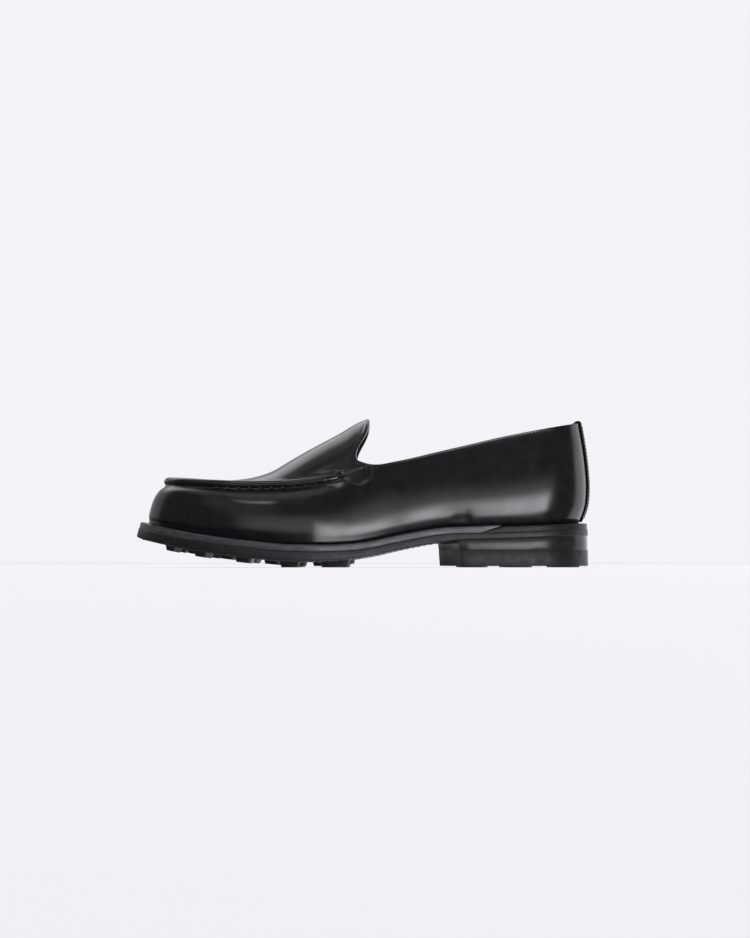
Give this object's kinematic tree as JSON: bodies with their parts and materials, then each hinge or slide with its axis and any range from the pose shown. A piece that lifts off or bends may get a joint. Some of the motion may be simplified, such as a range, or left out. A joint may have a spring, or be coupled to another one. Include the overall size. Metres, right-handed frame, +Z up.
{
  "type": "venetian loafer",
  "caption": "Left venetian loafer: plain slip-on with a raised apron seam, short tongue, welted studded rubber sole and a low stacked heel.",
  "frame": {"origin": "on the floor, midway along the shoe and midway across it", "axes": "+Z up, -X towards the toe, -Y towards the outer side of the left foot"},
  "size_m": [0.3012, 0.1073, 0.0985],
  "materials": {
    "upper_leather": "polished smooth black calf leather",
    "strip_leather": "polished smooth black calf leather",
    "insole_leather": "natural tan lining leather, matt",
    "welt_edge": "black dyed and waxed welt leather",
    "rand_edge": "black dyed and waxed rand leather",
    "sole_rubber": "matt black moulded rubber",
    "heel_stack": "stacked leather lift, black edge ink, waxed to a gloss",
    "heel_rubber": "matt black moulded rubber"
  },
  "bodies": {
    "root": {"upper": "upper_leather", "back_strip": "strip_leather", "insole": "insole_leather", "welt": "welt_edge", "heel_rand": "rand_edge", "outsole": "sole_rubber", "heel_lift": "heel_stack", "heel_top_piece": "heel_rubber"}
  },
  "joints": []
}
